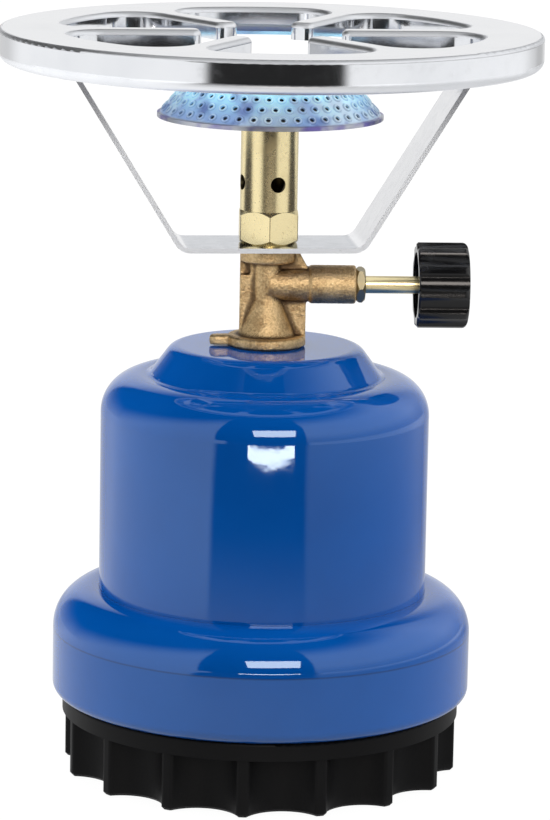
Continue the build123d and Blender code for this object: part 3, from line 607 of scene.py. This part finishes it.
def castValve():
    body = bpy.data.objects.new("valve_casting", nodes["valve_body"].data.copy())
    bpy.context.scene.collection.objects.link(body)
    bpy.ops.object.select_all(action="DESELECT")
    body.select_set(True)
    bpy.context.view_layer.objects.active = body
    bpy.ops.object.mode_set(mode="EDIT")
    bpy.ops.mesh.select_all(action="SELECT")
    bpy.ops.mesh.remove_doubles(threshold=casting["mergeDistance"])
    bpy.ops.object.mode_set(mode="OBJECT")
    remesh = body.modifiers.new("remesh", "REMESH")
    remesh.mode = "VOXEL"
    remesh.voxel_size = casting["voxel"]
    soften = body.modifiers.new("soften", "SMOOTH")
    soften.iterations = casting["softening"]
    sand = bpy.data.textures.new("castingSand", "CLOUDS")
    sand.noise_scale = casting["grainSize"]
    sand.noise_depth = casting["grainLayers"]
    skin = body.modifiers.new("skin", "DISPLACE")
    skin.texture = sand
    skin.strength = casting["grainDepth"]
    for name in ("remesh", "soften"):
        bpy.ops.object.modifier_apply(modifier=name)
    # the corners are found before the skin roughens them
    # the cavity map marks the corners for the brass's painted shade
    body.data.color_attributes.new("cavity", "FLOAT_COLOR", "POINT")
    bpy.ops.paint.vertex_color_dirt(blur_strength=casting["cavityBlur"],
                                    blur_iterations=casting["cavitySpread"])
    bpy.ops.object.modifier_apply(modifier="skin")
    bpy.ops.object.shade_smooth()
    body.data.materials.clear()
    body.data.materials.append(finishes["valve_body"])
    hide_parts("valve_body")
    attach(body, "stove")
    return body


valveCasting = castValve()
print("valve casting:", len(valveCasting.data.polygons), "faces")


# raised eyelets round the burner's holes, one shaped and then copied
eyelets = {
    "rows": (0.14, 0.36, 0.58, 0.8),
    "perRow": 46,
    "sides": 10,
    # radius and height, from the hole over the crest to the foot
    "profile": ((0.00062, 0.000084), (0.000784, 0.00042), (0.00098, 0.00042),
                (0.001274, 0.000189), (0.00165, -0.000084)),
}


def shapeEyelet():
    (radius, height), *steps = eyelets["profile"]
    bpy.ops.object.select_all(action="DESELECT")
    bpy.ops.mesh.primitive_circle_add(vertices=eyelets["sides"], radius=radius, fill_type="NOTHING")
    ring = bpy.context.object
    bpy.ops.object.mode_set(mode="EDIT")
    bpy.ops.mesh.select_all(action="SELECT")
    bpy.ops.transform.translate(value=(0, 0, height))
    for nextRadius, nextHeight in steps:
        bpy.ops.mesh.extrude_edges_move(TRANSFORM_OT_translate={"value": (0, 0, nextHeight - height)})
        grow = nextRadius / radius
        bpy.ops.transform.resize(value=(grow, grow, 1))
        radius, height = nextRadius, nextHeight
    bpy.ops.mesh.select_all(action="SELECT")
    bpy.ops.mesh.normals_make_consistent(inside=False)
    bpy.ops.object.mode_set(mode="OBJECT")
    return ring


def placeEyelets():
    pattern = shapeEyelet()
    copies = []
    for row, share in enumerate(eyelets["rows"]):
        radius = burnerCone["footRadius"] - share * coneRun
        height = burnerCone["footHeight"] + share * burnerCone["height"]
        for step in range(eyelets["perRow"]):
            turn = 2 * math.pi * (step + (row % 2) / 2) / eyelets["perRow"]
            copy = pattern.copy()
            copy.data = pattern.data.copy()
            bpy.context.collection.objects.link(copy)
            copy.data.transform(Matrix.Rotation(turn, 4, "Z") @ Matrix.Translation((radius, 0, height))
                                @ Matrix.Rotation(coneLean, 4, "Y"))
            copies.append(copy)
    bpy.data.objects.remove(pattern)
    bpy.ops.object.select_all(action="DESELECT")
    for copy in copies:
        copy.select_set(True)
    bpy.context.view_layer.objects.active = copies[0]
    bpy.ops.object.join()
    joined = bpy.context.object
    joined.name = "burner_eyelets"
    joined.data.name = "burner_eyelets"
    bpy.ops.object.shade_smooth()
    joined.data.materials.append(flameLitLook)
    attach(joined, "stove")
    return joined


burnerEyelets = placeEyelets()
print("burner eyelets:", len(burnerEyelets.data.polygons), "faces")


# studio: softboxes left and right, a white back, a dark gap behind the camera and dark overhead
# turns are degrees from the front, climbs degrees over the horizon, floor distances metres
studio = {
    "frontTurn": -3.0,
    "gap": {"left": 34.0, "right": 29.5, "edge": 1.0},
    "left": {"level": 1.03, "top": 49.0, "slope": 0.52, "slopeStart": 40.0, "least": 6.0, "fade": 16.0,
             "end": 158.0},
    "right": {"levels": (0.6, 1.05), "climbs": (-2.0, 18.0), "top": 53.0, "fade": 15.0, "end": 146.0},
    "back": {"level": 0.9, "floor": 0.8, "top": 34.0, "edge": 4.0},
    "topBlur": (-1.0, 0.9),
    "corner": {"start": (125.0, 146.0), "stop": (155.0, 166.0), "depth": 0.32},
    "nearFloor": {"turns": (-75.0, 60.0), "levels": (0.85, 0.6)},
    "farFloor": {"front": 0.02, "left": 1.0, "right": (0.4, 1.02), "ends": (0.3, 0.9),
                 "fading": (2.0, 2.8), "faded": 0.6},
    "floorGap": {"left": (34.2, 26.0), "right": (28.0, 30.5), "ends": (0.4, 0.9), "edge": 2.5},
    "floorEnds": (0.16, 0.4),
    "soft": {"left": 2.25, "right": 2.3, "back": 1.2, "top": 0.7, "topClimbs": (45.0, 60.0)},
    "floor": {"size": 6.0, "drop": 0.0002, "grey": 0.35, "white": 1.2, "whiteShare": 0.8},
}


def pick(chooser, first, last):
    return chooser * (last - first) + first


def studioParts(wire, direction):
    turn = wire.math("ARCTAN2", direction.part("X"), direction.part("Y") * -1)
    turn = turn * math.degrees(1) - studio["frontTurn"]
    away = wire.math("ABSOLUTE", turn)
    flat = direction.flatLength()
    climb = wire.math("ARCTAN2", direction.part("Z"), flat) * math.degrees(1)
    onRight = wire.math("GREATER_THAN", turn, 0.0)
    edge = studio["back"]["edge"]
    back = (away - pick(onRight, studio["left"]["end"], studio["right"]["end"])).spread(-edge, edge)
    corner = studio["corner"]
    dip = away.spread(*corner["start"]) * away.spread(*corner["stop"], 1.0, 0.0) * corner["depth"]
    return {"turn": turn, "away": away, "flat": flat, "climb": climb, "onRight": onRight, "back": back,
            "cornerLevel": 1 - dip}


def gapEdge(place, left, right, edge):
    return (place["away"] - pick(place["onRight"], left, right)).spread(-edge, edge)


# what mirrors see round the object
def mirrorLevel(wire, direction):
    place = studioParts(wire, direction)
    left, right, back, gap = (studio[side] for side in ("left", "right", "back", "gap"))
    leftTop = left["top"] - (place["away"] - left["slopeStart"]) * left["slope"]
    leftTop = wire.math("MAXIMUM", leftTop, left["least"])
    top = pick(place["back"], pick(place["onRight"], leftTop, right["top"]), back["top"])
    fade = pick(place["onRight"], left["fade"], right["fade"])
    lit = ((place["climb"] - top) / fade).spread(*studio["topBlur"], 1.0, 0.0)
    rightLevel = place["climb"].spread(*right["climbs"], *right["levels"])
    level = pick(place["back"], pick(place["onRight"], left["level"], rightLevel), back["level"])
    lit = lit * place["cornerLevel"]
    return level * lit * gapEdge(place, gap["left"], gap["right"], gap["edge"])


# what mirrors see on the floor
def floorLevel(wire, spot):
    place = studioParts(wire, spot)
    flat = place["flat"]
    near, far, gap = studio["nearFloor"], studio["farFloor"], studio["floorGap"]
    edges = [flat.spread(*gap["ends"], *gap[side]) for side in ("left", "right")]
    lit = gapEdge(place, *edges, gap["edge"])
    rightSide = flat.spread(*far["ends"], *far["right"]) * flat.spread(*far["fading"], 1.0, far["faded"])
    sides = pick(place["onRight"], far["left"], rightSide)
    around = pick(place["back"], sides, studio["back"]["floor"]) * place["cornerLevel"]
    distant = pick(lit, far["front"], around)
    close = place["turn"].spread(*near["turns"], *near["levels"])
    return pick(flat.spread(*studio["floorEnds"]), close, distant)


# what lights the matt surfaces
def softLevel(wire, direction):
    place = studioParts(wire, direction)
    soft, gap = studio["soft"], studio["gap"]
    level = pick(place["back"], pick(place["onRight"], soft["left"], soft["right"]), soft["back"])
    level = level * gapEdge(place, gap["left"], gap["right"], gap["edge"])
    return pick(place["climb"].spread(*soft["topClimbs"]), level, soft["top"])


def makeWorld():
    world = bpy.data.worlds.new("studioWorld")
    world.use_nodes = True
    world.node_tree.nodes.clear()
    bpy.context.scene.world = world
    wire = Wire(world.node_tree)
    direction = wire.node("TexCoord", None, None, "Generated")
    seen = wire.node("LightPath", None, None, "Is Camera Ray")
    mirrored = wire.node("LightPath", None, None, "Is Glossy Ray")
    level = pick(mirrored, softLevel(wire, direction), mirrorLevel(wire, direction))
    strength = level * (1 - seen) + seen
    shown = wire.node("Background", None, {"Color": colour(1, 1, 1), "Strength": strength})
    wire.node("OutputWorld", None, {"Surface": shown})


def makeFloor():
    sheet = studio["floor"]
    bpy.ops.object.select_all(action="DESELECT")
    bpy.ops.mesh.primitive_plane_add(size=sheet["size"], location=(0, 0, -sheet["drop"]))
    floor = bpy.context.object
    floor.name = "paleFloor"
    bpy.ops.object.transform_apply(location=True, rotation=True, scale=True)
    material, wire, spot = startMaterial("paleFloor")
    seen = wire.node("LightPath", None, None, "Is Camera Ray")
    mirrored = wire.node("LightPath", None, None, "Is Glossy Ray")
    matt = wire.node("BsdfDiffuse", None, {"Color": colour(sheet["grey"], sheet["grey"], sheet["grey"])})
    white = wire.node("Emission", None, {"Color": colour(1, 1, 1), "Strength": sheet["white"]})
    level = floorLevel(wire, spot)
    reflected = wire.node("Emission", None, {"Color": colour(1, 1, 1), "Strength": level})
    mix = wire.node("MixShader", None, {0: seen * sheet["whiteShare"], 1: matt, 2: white})
    mix = wire.node("MixShader", None, {0: mirrored, 1: mix, 2: reflected})
    wire.node("OutputMaterial", None, {"Surface": mix})
    floor.data.materials.append(material)


# the bright sheet metal sees a dim front box in place of the strong one, and the ring one above and below
sheetMetal = ("pan_ring", "support_bracket")
lampHues = {"warm": (1.0, 0.92, 0.86), "plain": (1.0, 1.0, 1.0)}
lamps = {
    "frontBox": {"size": (0.8, 0.5), "turn": 7.0, "climb": 22.0, "away": 1.6, "aim": 0.1,
                 "level": 8.8, "hue": "warm", "skips": sheetMetal},
    "lowStrip": {"size": (0.19, 0.006), "turn": 4.5, "climb": -11.5, "away": 0.36, "aim": 0.1065,
                 "level": 16.0, "hue": "warm"},
    "dimFrontBox": {"size": (2.0, 1.5), "turn": 0.0, "climb": 28.0, "away": 1.6, "aim": 0.21,
                    "level": 0.62, "hue": "plain", "only": sheetMetal},
    "overheadBox": {"size": (1.8, 1.8), "turn": 0.0, "climb": 90.0, "away": 1.4, "aim": 0.21,
                    "level": 0.45, "hue": "plain", "only": ("pan_ring",)},
    "lowBox": {"size": (1.3, 1.3), "turn": 0.0, "climb": -90.0, "away": 0.2, "aim": 0.21,
               "level": 0.25, "hue": "plain", "only": ("pan_ring",)},
}


def linkLamp(obj, pieces, state):
    group = bpy.data.collections.new(obj.name + "Pieces")
    for piece in pieces:
        group.objects.link(nodes[piece])
    for member in group.collection_objects:
        member.light_linking.link_state = state
    obj.light_linking.receiver_collection = group


def makeLamps():
    for name, lamp in lamps.items():
        data = bpy.data.lights.new(name, "AREA")
        data.shape = "RECTANGLE"
        data.size, data.size_y = lamp["size"]
        data.energy = lamp["level"] * math.pi * data.size * data.size_y
        data.color = lampHues[lamp["hue"]]
        obj = bpy.data.objects.new(name, data)
        bpy.context.scene.collection.objects.link(obj)
        turn = math.radians(lamp["turn"] + studio["frontTurn"])
        climb = math.radians(lamp["climb"])
        outward = Vector((math.sin(turn) * math.cos(climb), -math.cos(turn) * math.cos(climb),
                          math.sin(climb)))
        obj.location = Vector((0, 0, lamp["aim"])) + outward * lamp["away"]
        obj.rotation_euler = outward.to_track_quat("Z", "Y").to_euler()
        obj.visible_camera = False
        obj.visible_diffuse = False
        if "skips" in lamp:
            linkLamp(obj, lamp["skips"], "EXCLUDE")
        if "only" in lamp:
            linkLamp(obj, lamp["only"], "INCLUDE")


makeWorld()
makeFloor()
makeLamps()
print("studio lit:", len(lamps), "lamps")


# camera at the photograph's place
shot = {
    "turn": studio["frontTurn"],
    "distance": 1.15,
    "height": 0.3366,
    "pitch": 0.1992,
    "yaw": 0.0025,
    "roll": 0.0187,
    "lens": 180.0,
    "sensor": 36.0,
    "farEnd": 50.0,
}
cameraData = bpy.data.cameras.new("photoCamera")
cameraData.lens = shot["lens"]
cameraData.sensor_width = shot["sensor"]
cameraData.clip_end = shot["farEnd"]
camera = bpy.data.objects.new("photoCamera", cameraData)
bpy.context.scene.collection.objects.link(camera)
camera.matrix_world = (
    Matrix.Rotation(math.radians(shot["turn"]), 4, "Z")
    @ Matrix.Translation((0, -shot["distance"], shot["height"]))
    @ Matrix.Rotation(-shot["yaw"], 4, "Z") @ Matrix.Rotation(math.pi / 2 - shot["pitch"], 4, "X")
    @ Matrix.Rotation(shot["roll"], 4, "Z"))
bpy.context.scene.camera = camera
bpy.context.scene.view_settings.view_transform = "Standard"
print("camera set")
